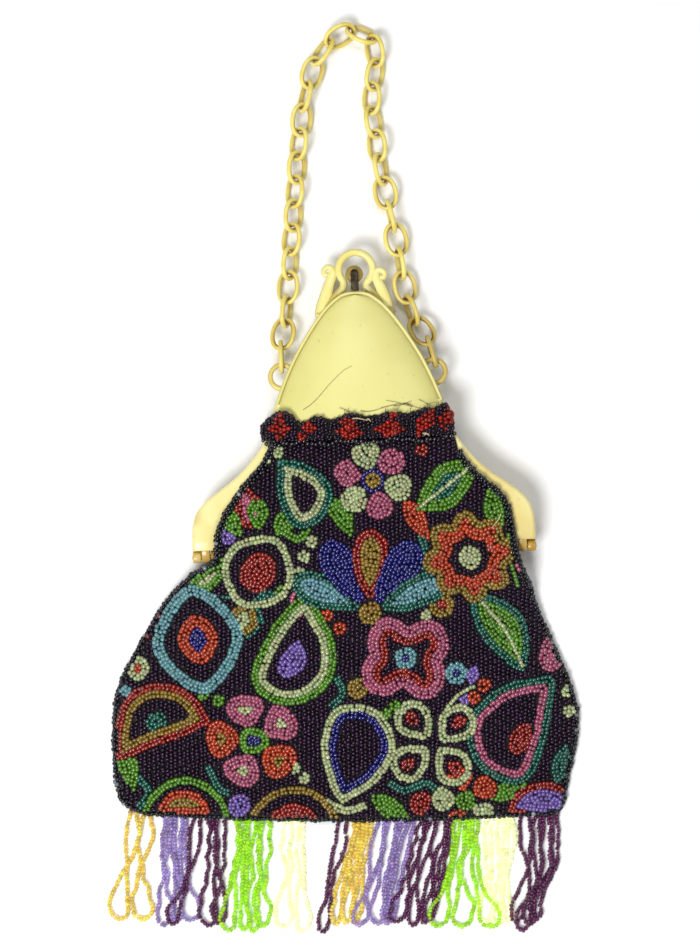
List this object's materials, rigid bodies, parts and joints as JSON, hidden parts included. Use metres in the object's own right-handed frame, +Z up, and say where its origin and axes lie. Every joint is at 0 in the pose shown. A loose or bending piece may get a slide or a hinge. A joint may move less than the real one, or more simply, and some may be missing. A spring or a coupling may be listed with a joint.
{
  "type": "beaded evening bag",
  "caption": "Flat beaded evening bag lying on its back: hinged celluloid frame with a ring crest, oval-link chain handle, gathered band and a fringe of looped bead strings.",
  "frame": {"origin": "on the flat underside of the back panel, midway across the pouch, about 80 mm above the bottom seam", "axes": "+X to the bag's right as seen from the front, +Y from the fringe to the handle, +Z up from the floor through the front panel"},
  "size_m": [0.1862, 0.3613, 0.0255],
  "materials": {
    "celluloid": "glossy cream celluloid",
    "hinge": "aged brass",
    "button": "olive celluloid",
    "metal": "darkened metal",
    "beadwork": "cloth worked all over with glossy aubergine glass beads",
    "edging": "black iridescent glass beads",
    "gold": "gold glass beads",
    "lilac": "lilac glass beads",
    "purple": "dark purple glass beads",
    "lime": "lime glass beads",
    "lemon": "pale lemon glass beads"
  },
  "bodies": {
    "root": {"frame_front": "celluloid", "frame_back": "celluloid", "hinge_pin_left": "hinge", "hinge_pin_right": "hinge", "clasp_knob": "button", "clasp_tongue": "metal", "chain_link_01": "celluloid", "chain_link_02": "celluloid", "chain_link_03": "celluloid", "chain_link_04": "celluloid", "chain_link_05": "celluloid", "chain_link_06": "celluloid", "chain_link_07": "celluloid", "chain_link_08": "celluloid", "chain_link_09": "celluloid", "chain_link_10": "celluloid", "chain_link_11": "celluloid", "chain_link_12": "celluloid", "chain_link_13": "celluloid", "chain_link_14": "celluloid", "chain_link_15": "celluloid", "chain_link_16": "celluloid", "chain_link_17": "celluloid", "chain_link_18": "celluloid", "chain_link_19": "celluloid", "chain_link_20": "celluloid", "chain_link_21": "celluloid", "chain_link_22": "celluloid", "chain_link_23": "celluloid", "chain_link_24": "celluloid", "chain_link_25": "celluloid", "chain_link_26": "celluloid", "chain_link_27": "celluloid", "chain_link_28": "celluloid", "chain_link_29": "celluloid", "chain_link_30": "celluloid", "panel_front": "beadwork", "panel_back": "beadwork", "edge_trim": "edging", "band_front": "beadwork", "band_back": "beadwork", "fringe_01_gold": "gold", "fringe_02_lilac": "lilac", "fringe_03_purple": "purple", "fringe_04_lime": "lime", "fringe_05_lemon": "lemon", "fringe_06_purple": "purple", "fringe_07_gold": "gold", "fringe_08_lilac": "lilac", "fringe_09_purple": "purple", "fringe_10_lime": "lime", "fringe_11_lemon": "lemon", "fringe_12_purple": "purple"}
  },
  "joints": []
}
